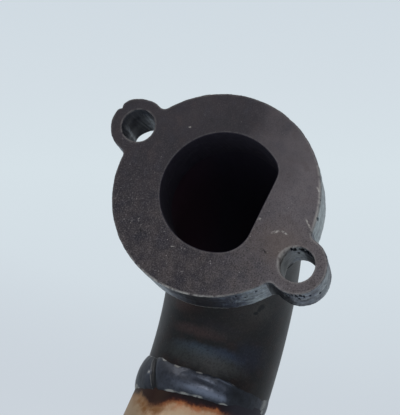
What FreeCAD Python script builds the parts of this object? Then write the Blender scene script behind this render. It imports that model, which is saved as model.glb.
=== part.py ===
"""Small-engine exhaust muffler: flange, weld elbow, header pipe and a three-chamber can.

Millimetres, +Z up. The origin is the centre of the inlet flange's front face, on the
line of its two stud holes. The face looks along -Y, at the engine. The elbow turns the
gas down, the header pipe turns it towards -X, and the can lies along X below them.
"""
import FreeCAD, Part
import math
import os

V = FreeCAD.Vector
X_AXIS = V(1, 0, 0)
Y_AXIS = V(0, 1, 0)
Z_AXIS = V(0, 0, 1)

# Inlet flange, cut from thick plate
flange_radius = 30.5
flange_thickness = 16.5
stud_pitch = 63.5
stud_hole_radius = 4.85
ear_radius = 8.6
ear_tilt = 25.2          # degrees that the stud line drops to the right
ear_blend = 2.0          # hollow corner between an ear and the disc

# Inlet port, a round hole with one flat side
port_radius = 17.7
port_x = 1.57
port_z = 0.77
port_flat = 12.8         # from the port's centre to its flat
port_flat_tilt = 7.9     # degrees that the flat's normal drops to the right
port_corner_upper = 6.0
port_corner_lower = 9.0

# Weld elbow
elbow_radius = 21.2
elbow_wall = 2.6
elbow_bend = 48.0
elbow_tangent = 2.7      # straight end below the bend
flange_weld_leg = 4.5

# Bead that joins the elbow to the header pipe
bead_width = 9.4
bead_crown = 2.3
bead_gap = 1.0           # root gap between the two pipe ends
bead_bite = 0.6          # depth of the crown's edges in the pipes before they are cut away

# Header pipe
header_radius = 21.2
header_wall = 2.0
header_lean = 6.0        # degrees off plumb at the bead, towards the can
header_drop = 55.3
header_bend = 64.0
header_lead = 30.0       # straight pipe in front of the can

# Can
shell_radius = 63.5
shell_wall = 1.2
can_length = 320.0
cap_sheet = 1.5
cap_knuckle = 8.0
cap_show = 3.0           # skirt that shows between knuckle and shell
cap_overlap = 12.0       # skirt inside the shell
slip_fit = 0.15          # radial clearance of sheet parts that slide together
seam_weld_leg = 2.6
seam_weld_dip = 0.1      # middle of the bead inside the shell's outer surface
shell_seam_angle = 200.0
shell_seam_gap = 1.2
shell_seam_width = 4.4
shell_seam_crown = 0.7

# Weep hole at the bottom of the can
weep_radius = 1.6
weep_inset = 40.0        # from the rear end of the can

# Baffles
front_chamber = 95.0     # from the front cap's face to the front baffle
rear_chamber = 95.0      # from the rear baffle to the rear cap's face
baffle_sheet = 1.5
baffle_knuckle = 4.0
baffle_rim = 11.0

# Plug welds that hold the baffles' rims to the shell
plug_radius = 3.2
plug_crown = 0.6
plug_setback = 4.0       # from the open end of the rim
plug_angles = (50.0, 140.0, 230.0, 310.0)

# Inner tubes, on a circle round the can's axis
tube_circle = 28.0
inlet_angle = 0.0        # degrees from the top of the can, towards +Y
outlet_angle = 120.0
return_angle = 240.0
tube_sheet = 1.2
return_radius = 17.5
tube_overrun = 12.0      # tube that stands past a baffle
outlet_reach = 34.0      # outlet tube in front of the front baffle
collar_height = 6.0
collar_root = 1.5
pipe_insert = 24.0       # header or tail pipe inside the can

# Holes punched in the inlet and outlet tubes
punch_radius = 3.0
punch_rings = 6
punch_count = 8
punch_pitch = 15.0

# Wool round the tubes
wool_clear = 0.3

# Tail pipe
tail_radius = 19.0
tail_wall = 1.5
tail_lead = 30.0
tail_bend = 57.0
tail_end = 34.0
pipe_weld_leg = 3.6

# Hangers
hanger_inset = 70.0      # from an end of the can to the middle of its hanger
hanger_sheet = 3.0
hanger_width = 36.0
hanger_wing = 15.0
hanger_fold = 5.0
hanger_setback = 12.0    # bolting face in front of the can's axis
hanger_hole_radius = 4.5
hanger_head_radius = 12.0
hanger_rise = 30.0       # hole above the top of the shell
hanger_foot = 8.0        # straight sides above the pad
wing_foot = 1.0          # straight back edge of a wing above the top of the pad
pad_sheet = 2.0
pad_length = 52.0
pad_width = 58.0
pad_corner = 9.0
stitch_radius = 2.4
stitch_length = 28.0


def export(name, shape):
    """Write one node's file."""
    shape.exportStep("parts/%s.step" % name)


def radial(angle, distance):
    """Point at an angle from local X, in degrees, and a distance from local Z."""
    turn = math.radians(angle)
    return V(distance * math.cos(turn), distance * math.sin(turn), 0)


def along(origin, direction):
    """Placement that carries local Z onto a direction."""
    return FreeCAD.Placement(origin, FreeCAD.Rotation(Z_AXIS, direction))


def placed(shape, placement):
    """Copy of a shape at a placement."""
    moved = shape.copy()
    moved.Placement = placement.multiply(moved.Placement)
    return moved


def spin(edges):
    """Solid of revolution about local Z from a closed profile in the XZ plane."""
    face = Part.Face(Part.Wire(edges))
    return face.revolve(V(0, 0, 0), Z_AXIS, 360)


def line(start, end):
    return Part.LineSegment(start, end).toShape()


def arc(start, middle, end):
    return Part.Arc(start, middle, end).toShape()


def corner_arc(start, centre, end):
    """Arc of less than half a turn from start to end about a centre."""
    bisector = (start - centre) + (end - centre)
    middle = centre + bisector.normalize() * (start - centre).Length
    return arc(start, middle, end)


def chain(points):
    """Straight edges through the points and back to the first."""
    return [line(points[i - 1], points[i]) for i in range(len(points))]


def tube(radius, wall, length):
    """Straight tube on local Z."""
    outer = Part.makeCylinder(radius, length)
    return outer.cut(Part.makeCylinder(radius - wall, length))


def pipe_path(start, heading, steps):
    """Frames along a bent pipe: one (point, heading) before and after each step.

    A step is ("straight", length) or ("bend", radius, angle, towards).
    """
    frames = [(start, heading)]
    for step in steps:
        point, ahead = frames[-1]
        if step[0] == "straight":
            frames.append((point + ahead * step[1], ahead))
            continue
        radius, angle, towards = step[1:]
        turn = math.radians(angle)
        side = towards * radius
        point_out = point + side + (ahead * math.sin(turn) - towards * math.cos(turn)) * radius
        frames.append((point_out, ahead * math.cos(turn) + towards * math.sin(turn)))
    return frames


def disc(radius, centre, normal):
    """Flat round face."""
    return Part.Face(Part.Wire(Part.makeCircle(radius, centre, normal)))


def bent_pipe(start, heading, steps, radius, wall=None):
    """Pipe through the steps: straight runs and bends, hollow if a wall is given."""
    whole = None
    for (point, ahead), step in zip(pipe_path(start, heading, steps), steps):
        section = disc(radius, point, ahead)
        if wall is not None:
            section = section.cut(disc(radius - wall, point, ahead)).Faces[0]
        if step[0] == "straight":
            run = section.extrude(ahead * step[1])
        else:
            bend, angle, towards = step[1:]
            run = section.revolve(point + towards * bend, ahead.cross(towards), angle)
        whole = run if whole is None else whole.fuse(run)
    return whole.removeSplitter().Solids[0]


def fillet_bead(radius, leg, bulge=0.1):
    """Fillet weld round a pipe of this radius, on local Z, standing on the plane z = 0."""
    root = V(radius, 0, 0)
    foot = V(radius + leg, 0, 0)
    top = V(radius, 0, leg)
    middle = V(radius + leg * (0.5 + bulge), 0, leg * (0.5 + bulge))
    return spin([line(root, foot), arc(foot, middle, top), line(top, root)])


# Flange outline and port, drawn in the XZ plane


def on_face(x, z):
    return V(x, 0, z)


def polar(angle, radius, centre=V(0, 0, 0)):
    """Point of the flange's face at an angle from +X towards +Z."""
    turn = math.radians(angle)
    return centre + V(radius * math.cos(turn), 0, radius * math.sin(turn))


def flange_outline():
    """Disc with two opposite ears and a hollow corner on each side of both."""
    reach = stud_pitch / 2.0
    hub = flange_radius + ear_blend
    knob = ear_radius + ear_blend
    spread = math.degrees(math.acos((hub**2 + reach**2 - knob**2) / (2 * hub * reach)))
    edges = []
    leave = None
    first = None
    for ear_angle in (-ear_tilt, 180.0 - ear_tilt):
        ear = polar(ear_angle, reach)
        enter_centre = polar(ear_angle - spread, hub)
        leave_centre = polar(ear_angle + spread, hub)
        disc_in = polar(ear_angle - spread, flange_radius)
        disc_out = polar(ear_angle + spread, flange_radius)
        ear_in = ear + (enter_centre - ear).normalize() * ear_radius
        ear_out = ear + (leave_centre - ear).normalize() * ear_radius
        if leave is not None:
            edges.append(arc(leave, polar(ear_angle - 90.0, flange_radius), disc_in))
        else:
            first = disc_in
        edges.append(corner_arc(disc_in, enter_centre, ear_in))
        edges.append(arc(ear_in, polar(ear_angle, ear_radius, ear), ear_out))
        edges.append(corner_arc(ear_out, leave_centre, disc_out))
        leave = disc_out
    edges.append(arc(leave, polar(-ear_tilt - 90.0, flange_radius), first))
    return Part.Wire(edges)


def port_outline():
    """Round port with one flat side and a rounded corner at each end of the flat."""
    centre = on_face(port_x, port_z)
    normal = polar(-port_flat_tilt, 1.0)
    side = polar(90.0 - port_flat_tilt, 1.0)
    ends = []
    for corner, sign in ((port_corner_upper, 1.0), (port_corner_lower, -1.0)):
        inset = port_flat - corner
        lift = sign * math.sqrt((port_radius - corner) ** 2 - inset**2)
        bend = centre + normal * inset + side * lift
        on_flat = bend + normal * corner
        on_round = centre + (bend - centre).normalize() * port_radius
        ends.append((on_flat, bend, on_round))
    (flat_top, bend_top, round_top), (flat_low, bend_low, round_low) = ends
    far_side = centre - normal * port_radius
    return Part.Wire([
        line(flat_low, flat_top),
        corner_arc(flat_top, bend_top, round_top),
        arc(round_top, far_side, round_low),
        corner_arc(round_low, bend_low, flat_low),
    ])


def make_flange():
    plate = Part.Face(flange_outline()).extrude(Y_AXIS * flange_thickness)
    plate = plate.cut(Part.Face(port_outline()).extrude(Y_AXIS * flange_thickness))
    for angle in (-ear_tilt, 180.0 - ear_tilt):
        stud = polar(angle, stud_pitch / 2.0)
        plate = plate.cut(Part.makeCylinder(stud_hole_radius, flange_thickness, stud, Y_AXIS))
    return plate


# Elbow, header pipe and where the can lies

elbow_start = V(port_x, flange_thickness, port_z)
elbow_steps = [("bend", elbow_bend, 90.0, -Z_AXIS), ("straight", elbow_tangent)]
elbow_end = pipe_path(elbow_start, Y_AXIS, elbow_steps)[-1][0]

lean = math.radians(header_lean)
header_start = elbow_end
header_heading = V(-math.sin(lean), 0, -math.cos(lean))
header_side = V(-math.cos(lean), 0, math.sin(lean))
header_steps = [
    ("straight", header_drop),
    ("bend", header_bend, 90.0 - header_lean, header_side),
    ("straight", header_lead + pipe_insert),
]
header_tip = pipe_path(header_start, header_heading, header_steps)[-1][0]

can_front = header_tip.x + pipe_insert
can_axis_y = header_tip.y
can_axis_z = header_tip.z - tube_circle

# Can parts are drawn with local Z along the can (-X) and local X up
CAN = FreeCAD.Placement(V(can_front, can_axis_y, can_axis_z), FreeCAD.Rotation(Y_AXIS, -90))

shell_inner = shell_radius - shell_wall
cap_radius = shell_inner - slip_fit
shell_start = cap_knuckle + cap_show
front_baffle_at = front_chamber
rear_baffle_at = can_length - rear_chamber
hanger_at = (hanger_inset, can_length - hanger_inset)
front_plugs_at = front_baffle_at - baffle_rim + plug_setback
rear_plugs_at = rear_baffle_at + baffle_rim - plug_setback
inlet_tube_radius = header_radius + slip_fit + tube_sheet
outlet_tube_radius = tail_radius + slip_fit + tube_sheet
inlet_at = radial(inlet_angle, tube_circle)
outlet_at = radial(outlet_angle, tube_circle)
return_at = radial(return_angle, tube_circle)


def make_flange_weld(elbow_envelope):
    bead = placed(fillet_bead(elbow_radius - elbow_wall / 2, flange_weld_leg + elbow_wall / 2),
                  along(elbow_start, Y_AXIS))
    return bead.cut(elbow_envelope).Solids[0]


def make_elbow_weld(elbow_envelope, header_envelope):
    """Butt weld: a crown outside both pipes and a root that fills the gap between them."""
    bore = header_radius - header_wall
    toe = header_radius - bead_bite
    half = bead_width / 2
    crown = V(header_radius + bead_crown, 0, 0)
    profile = [
        arc(V(toe, 0, half), crown, V(toe, 0, -half)),
        line(V(toe, 0, -half), V(bore, 0, -half)),
        line(V(bore, 0, -half), V(bore, 0, half)),
        line(V(bore, 0, half), V(toe, 0, half)),
    ]
    bead = placed(spin(profile), along(elbow_end - Z_AXIS * bead_gap / 2, Z_AXIS))
    bead = bead.cut(elbow_envelope)
    bead = bead.cut(header_envelope.common(below(elbow_end.z - bead_gap)))
    return bead.Solids[0]


def above(height):
    """Large block whose underside is at this height."""
    size = 400.0
    return Part.makeBox(size, size, size, V(-size / 2, -size / 2, height))


def below(height):
    """Large block whose top is at this height."""
    size = 400.0
    return Part.makeBox(size, size, size, V(-size / 2, -size / 2, height - size))


def make_header():
    """Header pipe, its top cut level under the bead's root gap."""
    rise = bead_width
    start = header_start - header_heading * rise
    steps = [("straight", header_drop + rise)] + header_steps[1:]
    pipe = bent_pipe(start, header_heading, steps, header_radius, header_wall)
    return pipe.cut(above(elbow_end.z - bead_gap)).Solids[0]


# Sheet-metal parts of the can


def dish(radius, sheet, knuckle, depth):
    """Flat disc on z = 0 with a rounded knuckle and a rim that runs up local Z."""
    flat = radius - knuckle
    outer_bend = V(flat, 0, knuckle)
    turn = math.sqrt(0.5)
    outer_mid = outer_bend + V(turn, 0, -turn) * knuckle
    inner_mid = outer_bend + V(turn, 0, -turn) * (knuckle - sheet)
    return spin([
        line(V(0, 0, 0), V(flat, 0, 0)),
        arc(V(flat, 0, 0), outer_mid, V(radius, 0, knuckle)),
        line(V(radius, 0, knuckle), V(radius, 0, depth)),
        line(V(radius, 0, depth), V(radius - sheet, 0, depth)),
        line(V(radius - sheet, 0, depth), V(radius - sheet, 0, knuckle)),
        arc(V(radius - sheet, 0, knuckle), inner_mid, V(flat, 0, sheet)),
        line(V(flat, 0, sheet), V(0, 0, sheet)),
        line(V(0, 0, sheet), V(0, 0, 0)),
    ])


def collar(bore, sheet):
    """Drawn collar round a hole, standing up local Z from a sheet on z = 0."""
    wall = bore + sheet
    foot = wall + collar_root
    turn = math.sqrt(0.5)
    bend = V(foot, 0, sheet + collar_root)
    hollow = bend - V(turn, 0, turn) * collar_root
    mouth_bend = V(bore + collar_root, 0, collar_root)
    mouth = mouth_bend - V(turn, 0, turn) * collar_root
    return spin([
        line(V(foot, 0, 0), V(bore + collar_root, 0, 0)),
        arc(V(bore + collar_root, 0, 0), mouth, V(bore, 0, collar_root)),
        line(V(bore, 0, collar_root), V(bore, 0, collar_height)),
        line(V(bore, 0, collar_height), V(wall, 0, collar_height)),
        line(V(wall, 0, collar_height), V(wall, 0, sheet + collar_root)),
        arc(V(wall, 0, sheet + collar_root), hollow, V(foot, 0, sheet)),
        line(V(foot, 0, sheet), V(foot, 0, 0)),
    ])


def collared_dish(radius, sheet, knuckle, depth, tubes):
    """Dish with a drawn collar for each (place, tube radius)."""
    pressing = dish(radius, sheet, knuckle, depth)
    for place, tube_radius in tubes:
        bore = tube_radius + slip_fit
        foot = bore + sheet + collar_root
        pressing = pressing.cut(Part.makeCylinder(foot, sheet, place))
        pressing = pressing.fuse(placed(collar(bore, sheet), FreeCAD.Placement(place, FreeCAD.Rotation())))
    return pressing.removeSplitter().Solids[0]


def flipped(at):
    """Placement in the can that turns a part to face the other way, its z = 0 at this station."""
    return CAN.multiply(FreeCAD.Placement(V(0, 0, at), FreeCAD.Rotation(X_AXIS, 180)))


def station(at, place=V(0, 0, 0)):
    """Placement in the can at a distance behind the front cap's face."""
    return CAN.multiply(FreeCAD.Placement(place + V(0, 0, at), FreeCAD.Rotation()))


def mirrored(place):
    """Where a tube lies in the drawing of a part that is turned by flipped()."""
    return V(place.x, -place.y, place.z)


def make_cap(place, pipe_radius, placement):
    depth = cap_knuckle + cap_show + cap_overlap
    cap = collared_dish(cap_radius, cap_sheet, cap_knuckle, depth, [(place, pipe_radius)])
    return placed(cap, placement)


def tube_plan(view):
    """The three tubes as (place, radius), with each place seen through a view function."""
    return [
        (view(inlet_at), inlet_tube_radius),
        (view(outlet_at), outlet_tube_radius),
        (view(return_at), return_radius),
    ]


def make_shell():
    length = can_length - 2 * shell_start
    shell = tube(shell_radius, shell_wall, length)
    slot = Part.makeBox(shell_radius, shell_seam_gap, length, V(0, -shell_seam_gap / 2, 0))
    slot.rotate(V(0, 0, 0), Z_AXIS, shell_seam_angle)
    holes = [shell_hole(weep_radius, 180.0, can_length - weep_inset)]
    for at in (front_plugs_at, rear_plugs_at):
        holes += [shell_hole(plug_radius, angle, at) for angle in plug_angles]
    shell = shell.cut(slot).cut(Part.makeCompound(holes))
    return placed(shell.Solids[0], station(shell_start))


def shell_hole(radius, angle, at):
    """Round drill through the shell's wall at a station of the can, in the shell's own drawing."""
    inside = radial(angle, shell_inner - radius) + V(0, 0, at - shell_start)
    return Part.makeCylinder(radius, 2 * radius + shell_wall, inside, radial(angle, 1))


def make_plug_welds(at):
    """Domed plugs that fill the shell's holes down to a baffle's rim."""
    dome = (plug_radius**2 + plug_crown**2) / (2 * plug_crown)
    plugs = []
    for angle in plug_angles:
        out = radial(angle, 1)
        blank = Part.makeCylinder(plug_radius, 2 * plug_radius, out * (cap_radius - plug_radius), out)
        plug = blank.common(Part.makeSphere(dome, out * (shell_radius + plug_crown - dome)))
        rim = Part.makeCylinder(cap_radius, 4 * plug_radius, V(0, 0, -2 * plug_radius))
        plugs.append(plug.cut(rim).Solids[0])
    return placed(Part.makeCompound(plugs), station(at))


def make_shell_seam():
    """Bead along the rolled sheet's joint: it fills the slot and crowns outside."""
    length = can_length - 2 * shell_start
    half = shell_seam_width / 2
    edge = math.sqrt(shell_radius**2 - half**2)
    crown = shell_radius + shell_seam_crown
    lip = shell_seam_gap / 2
    lip_edge = math.sqrt(shell_radius**2 - lip**2)
    inner_edge = math.sqrt(shell_inner**2 - lip**2)
    outer = arc(V(edge, -half, 0), V(crown, 0, 0), V(edge, half, 0))
    section = Part.Wire([
        outer,
        arc(V(edge, half, 0), radial(math.degrees(1.5 * lip / shell_radius), shell_radius),
            V(lip_edge, lip, 0)),
        line(V(lip_edge, lip, 0), V(inner_edge, lip, 0)),
        arc(V(inner_edge, lip, 0), V(shell_inner, 0, 0), V(inner_edge, -lip, 0)),
        line(V(inner_edge, -lip, 0), V(lip_edge, -lip, 0)),
        arc(V(lip_edge, -lip, 0), radial(-math.degrees(1.5 * lip / shell_radius), shell_radius),
            V(edge, -half, 0)),
    ])
    bead = Part.Face(section).extrude(Z_AXIS * length)
    bead.rotate(V(0, 0, 0), Z_AXIS, shell_seam_angle)
    return placed(bead, station(shell_start))


def make_rim_weld():
    """Bead in the corner between a cap's skirt and the end of the shell."""
    inner = V(cap_radius, 0, shell_start - seam_weld_leg)
    corner = V(cap_radius, 0, shell_start)
    lip = V(shell_radius, 0, shell_start)
    bulge = V(shell_radius - seam_weld_dip, 0, shell_start - seam_weld_leg / 2)
    return spin([line(inner, corner), line(corner, lip), arc(lip, bulge, inner)])


def punched(shape, radius, first):
    """Tube with staggered rings of round holes, the first ring at this height."""
    punches = []
    for ring in range(punch_rings):
        for number in range(punch_count):
            angle = 360.0 / punch_count * (number + 0.5 * (ring % 2))
            height = V(0, 0, first + punch_pitch * ring)
            punches.append(Part.makeCylinder(punch_radius, 2 * radius, height, radial(angle, 1)))
    return shape.cut(Part.makeCompound(punches))


def inner_tube(place, radius, start, end, holes):
    """Tube of the silencing core between two stations of the can."""
    body = tube(radius, tube_sheet, end - start)
    if holes:
        spread = punch_pitch * (punch_rings - 1)
        first = (front_baffle_at + rear_baffle_at - spread) / 2 - start
        body = punched(body, radius, first)
    return placed(body, station(start, place))


def make_wool():
    """Wool that fills the middle chamber round the three tubes."""
    start = front_baffle_at + wool_clear
    end = rear_baffle_at - wool_clear
    filling = Part.makeCylinder(shell_inner - wool_clear, end - start)
    for place, radius in tube_plan(V):
        filling = filling.cut(Part.makeCylinder(radius + wool_clear, end - start, place))
    return placed(filling, station(start))


# Hangers on top of the can, drawn in the can's local axes


def rounded_block(width, length, height, corner):
    """Upright block on z = 0 with rounded corners, centred on local Z."""
    block = Part.makeBox(width, length, height, V(-width / 2, -length / 2, 0))
    posts = [edge for edge in block.Edges if abs(edge.Length - height) < 1e-6]
    return block.makeFillet(corner, posts)


def hanger_frame(at):
    """Placement at the top of the can's axis line: local Z up, local X along the can."""
    return FreeCAD.Placement(V(can_front - at, can_axis_y, can_axis_z), FreeCAD.Rotation())


def can_envelope(radius, length):
    """Solid cylinder of this radius along the can, centred on the hanger."""
    return Part.makeCylinder(radius, length, V(-length / 2, 0, 0), X_AXIS)


def make_pad():
    """Curved doubler plate that spreads a hanger's load over the thin shell."""
    top = shell_radius + pad_sheet
    sheet = can_envelope(top, 2 * pad_length).cut(can_envelope(shell_radius, 2 * pad_length))
    return sheet.common(rounded_block(pad_length, pad_width, 2 * top, pad_corner)).Solids[0]


def make_hanger():
    """Folded channel: a web that bolts up, and two wings scribed to the pad."""
    half = hanger_width / 2
    top = shell_radius + hanger_rise + hanger_head_radius
    front = -hanger_setback
    channel = Part.makeBox(hanger_width, hanger_wing, top, V(-half, front, 0))
    corners = [
        edge for edge in channel.Edges
        if abs(edge.Length - top) < 1e-6 and edge.CenterOfMass.y < front + hanger_sheet
    ]
    channel = channel.makeFillet(hanger_fold, corners)
    inside = Part.makeBox(hanger_width - 2 * hanger_sheet, hanger_wing, top,
                          V(-half + hanger_sheet, front + hanger_sheet, 0))
    corners = [
        edge for edge in inside.Edges
        if abs(edge.Length - top) < 1e-6 and edge.CenterOfMass.y < front + 2 * hanger_sheet
    ]
    inside = inside.makeFillet(hanger_fold - hanger_sheet, corners)
    channel = channel.cut(inside).cut(can_envelope(shell_radius + pad_sheet, 2 * pad_length))
    return channel.common(hanger_side(front)).common(hanger_face(half, front)).Solids[0].cut(
        Part.makeCylinder(hanger_hole_radius, hanger_sheet,
                          V(0, front, shell_radius + hanger_rise), Y_AXIS))


def hanger_face(half, front):
    """The hanger's outline seen along Y: straight foot, sloping sides and a round head."""
    hole = V(0, front, shell_radius + hanger_rise)
    shoulder = shell_radius + pad_sheet + hanger_foot
    slope = V(half, front, shoulder)
    reach = slope - hole
    turn = math.atan2(reach.z, reach.x) + math.acos(hanger_head_radius / reach.Length)
    touch = hole + V(math.cos(turn), 0, math.sin(turn)) * hanger_head_radius
    mirror = V(2 * hole.x - touch.x, touch.y, touch.z)
    crown = hole + Z_AXIS * hanger_head_radius
    outline = Part.Wire([
        line(V(-half, front, 0), V(half, front, 0)),
        line(V(half, front, 0), slope),
        line(slope, touch),
        arc(touch, crown, mirror),
        line(mirror, V(-half, front, shoulder)),
        line(V(-half, front, shoulder), V(-half, front, 0)),
    ])
    return Part.Face(outline).extrude(Y_AXIS * hanger_wing)


def hanger_side(front):
    """The hanger's outline seen along X: the wings slope down from the web."""
    half = hanger_width
    top = shell_radius + hanger_rise + hanger_head_radius
    shoulder = shell_radius + pad_sheet + hanger_foot
    back = front + hanger_wing
    knee = front + hanger_sheet
    points = [
        V(-half, front, 0), V(-half, back, 0), V(-half, back, shell_radius + pad_sheet + wing_foot),
        V(-half, knee, shoulder + hanger_foot), V(-half, knee, top), V(-half, front, top),
    ]
    return Part.Face(Part.Wire(chain(points))).extrude(X_AXIS * 2 * half)


def stitch(x, y, z, length):
    """Short round-ended bead along X."""
    run = Part.makeCylinder(stitch_radius, length, V(x - length / 2, y, z), X_AXIS)
    for end in (-length / 2, length / 2):
        run = run.fuse(Part.makeSphere(stitch_radius, V(x + end, y, z)))
    return run


def make_pad_welds(pad):
    """One stitch along each long edge of the pad."""
    edge = pad_width / 2
    height = math.sqrt((shell_radius + pad_sheet / 2) ** 2 - edge**2)
    beads = []
    for y in (-edge, edge):
        bead = stitch(0, y, height, stitch_length)
        bead = bead.cut(can_envelope(shell_radius, 2 * pad_length)).cut(pad)
        beads.append(max(bead.Solids, key=lambda solid: solid.Volume))
    return Part.makeCompound(beads)


def make_hanger_welds(hanger, pad):
    """Stitches in front of the web and behind it, between the wings."""
    front = -hanger_setback
    seat = shell_radius + pad_sheet
    inner_length = hanger_width - 2 * hanger_sheet - 2 * hanger_fold
    beads = []
    for y, length in ((front, stitch_length - 2 * stitch_radius), (front + hanger_sheet, inner_length)):
        height = math.sqrt(seat**2 - y**2)
        bead = stitch(0, y, height, length)
        bead = bead.cut(can_envelope(seat, 2 * pad_length)).cut(hanger)
        beads.append(max(bead.Solids, key=lambda solid: solid.Volume))
    return Part.makeCompound(beads)


def main():
    os.makedirs("parts", exist_ok=True)

    export("inlet_flange", make_flange())

    elbow = bent_pipe(elbow_start, Y_AXIS, elbow_steps, elbow_radius, elbow_wall)
    elbow_envelope = bent_pipe(elbow_start, Y_AXIS, elbow_steps, elbow_radius)
    header = make_header()
    header_envelope = bent_pipe(header_start - header_heading * bead_width, header_heading,
                                [("straight", header_drop)], header_radius)
    export("inlet_elbow", elbow)
    export("header_pipe", header)
    export("flange_weld", make_flange_weld(elbow_envelope))
    export("elbow_weld", make_elbow_weld(elbow_envelope, header_envelope))

    front = station(0)
    rear = flipped(can_length)
    export("front_cap", make_cap(inlet_at, header_radius, front))
    export("rear_cap", make_cap(mirrored(outlet_at), tail_radius, rear))
    export("shell", make_shell())
    export("shell_seam_weld", make_shell_seam())
    export("front_rim_weld", placed(make_rim_weld(), front))
    export("rear_rim_weld", placed(make_rim_weld(), rear))
    export("header_weld", placed(fillet_bead(header_radius, pipe_weld_leg),
                                 CAN.multiply(FreeCAD.Placement(inlet_at, FreeCAD.Rotation(X_AXIS, 180)))))
    export("tail_weld", placed(fillet_bead(tail_radius, pipe_weld_leg), station(can_length, outlet_at)))

    front_baffle = collared_dish(cap_radius, baffle_sheet, baffle_knuckle, baffle_rim, tube_plan(mirrored))
    rear_baffle = collared_dish(cap_radius, baffle_sheet, baffle_knuckle, baffle_rim, tube_plan(V))
    export("front_baffle", placed(front_baffle, flipped(front_baffle_at)))
    export("rear_baffle", placed(rear_baffle, station(rear_baffle_at)))
    export("front_plug_welds", make_plug_welds(front_plugs_at))
    export("rear_plug_welds", make_plug_welds(rear_plugs_at))

    sleeve_start = collar_height + slip_fit
    export("inlet_tube", inner_tube(inlet_at, inlet_tube_radius, sleeve_start,
                                    rear_baffle_at + tube_overrun, True))
    export("outlet_tube", inner_tube(outlet_at, outlet_tube_radius, front_baffle_at - outlet_reach,
                                     can_length - sleeve_start, True))
    export("return_tube", inner_tube(return_at, return_radius, front_baffle_at - tube_overrun,
                                     rear_baffle_at + tube_overrun, False))
    export("wool_packing", make_wool())

    tail_start = station(can_length - pipe_insert, outlet_at).Base
    tail_steps = [
        ("straight", pipe_insert + tail_lead),
        ("bend", tail_bend, 90.0, Y_AXIS),
        ("straight", tail_end),
    ]
    export("tail_pipe", bent_pipe(tail_start, -X_AXIS, tail_steps, tail_radius, tail_wall))

    pad = make_pad()
    hanger = make_hanger()
    for name, at in zip(("front", "rear"), hanger_at):
        frame = hanger_frame(at)
        export(name + "_hanger_pad", placed(pad, frame))
        export(name + "_hanger", placed(hanger, frame))
        export(name + "_pad_welds", placed(make_pad_welds(pad), frame))
        export(name + "_hanger_welds", placed(make_hanger_welds(hanger, pad), frame))


main()
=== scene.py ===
import math

import bmesh
import bpy
import numpy as np
from mathutils import Matrix, Vector, noise


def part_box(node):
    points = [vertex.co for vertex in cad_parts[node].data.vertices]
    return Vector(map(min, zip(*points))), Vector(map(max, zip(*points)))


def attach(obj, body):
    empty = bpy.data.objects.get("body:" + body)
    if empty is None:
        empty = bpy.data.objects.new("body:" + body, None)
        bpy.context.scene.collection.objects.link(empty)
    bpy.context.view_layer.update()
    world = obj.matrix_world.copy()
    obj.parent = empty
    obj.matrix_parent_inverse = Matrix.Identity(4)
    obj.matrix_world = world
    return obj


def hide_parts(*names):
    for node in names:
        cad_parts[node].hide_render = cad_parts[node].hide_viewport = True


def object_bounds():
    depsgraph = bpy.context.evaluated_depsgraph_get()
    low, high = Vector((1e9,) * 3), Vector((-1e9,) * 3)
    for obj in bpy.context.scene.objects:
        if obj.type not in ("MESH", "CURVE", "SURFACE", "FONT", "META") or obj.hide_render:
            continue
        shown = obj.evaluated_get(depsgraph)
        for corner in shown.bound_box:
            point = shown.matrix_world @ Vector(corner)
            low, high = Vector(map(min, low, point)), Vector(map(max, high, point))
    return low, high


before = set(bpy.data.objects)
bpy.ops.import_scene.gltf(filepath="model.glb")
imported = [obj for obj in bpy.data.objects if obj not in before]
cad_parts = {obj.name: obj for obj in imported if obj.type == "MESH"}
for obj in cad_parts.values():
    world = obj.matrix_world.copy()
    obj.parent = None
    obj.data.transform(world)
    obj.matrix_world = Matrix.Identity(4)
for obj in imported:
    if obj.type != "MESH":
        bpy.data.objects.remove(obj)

# Exhaust muffler with a thick plasma-cut inlet flange, weld elbow, header pipe and can.
# Lengths are in millimetres until a mesh is made, then in metres.
MM = 0.001
cad_box = [list(corner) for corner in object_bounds()]


def box_mm(node):
    """Lowest and highest corner of a CAD node, in millimetres."""
    low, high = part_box(node)
    return np.array(low) / MM, np.array(high) / MM


# Sizes of the flange and its port, as the part has them
flange_low, flange_high = box_mm("inlet_flange")
THICKNESS = flange_high[1] - flange_low[1]
FLANGE_RADIUS = (flange_high[2] - flange_low[2]) / 2
STUD_PITCH = 63.5
STUD_HOLE_RADIUS = 4.85
EAR_RADIUS = 8.6
EAR_TILT = 25.2
EAR_BLEND = 2.0
PORT_CENTRE = (1.57, 0.77)
PORT_RADIUS = 17.7
PORT_FLAT = 12.8
PORT_FLAT_TILT = 7.9
PORT_CORNER_UPPER = 6.0
PORT_CORNER_LOWER = 9.0

# Pipes
ELBOW_RADIUS = 21.2
ELBOW_BEND = 48.0
HEADER_LEAN = math.radians(6.0)
TAIL_RADIUS = 19.0
ELBOW_START = np.array([PORT_CENTRE[0], THICKNESS, PORT_CENTRE[1]])
ELBOW_FOOT = box_mm("inlet_elbow")[0][2]
JOINT = np.array([PORT_CENTRE[0], THICKNESS + ELBOW_BEND, ELBOW_FOOT - 0.5])

# Bead between elbow and header: its edges above and below the joint, and how they tilt to the right
BEAD_UPPER = 4.3
BEAD_LOWER = 4.4
BEAD_TILT = 1.4

# Can, from its shell, caps and end welds
shell_low, shell_high = box_mm("shell")
front_cap_low, front_cap_high = box_mm("front_cap")
CAN_FRONT = front_cap_high[0]
CAN_REAR = box_mm("rear_cap")[0][0]
CAN_Y = (shell_low[1] + shell_high[1]) / 2
CAN_Z = (shell_low[2] + shell_high[2]) / 2
SHELL_RADIUS = (shell_high[2] - shell_low[2]) / 2
CAP_RADIUS = (front_cap_high[2] - front_cap_low[2]) / 2
HEADER_AT_CAN = sum(box_mm("header_weld")) / 2
TAIL_AT_CAN = sum(box_mm("tail_weld")) / 2

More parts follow.
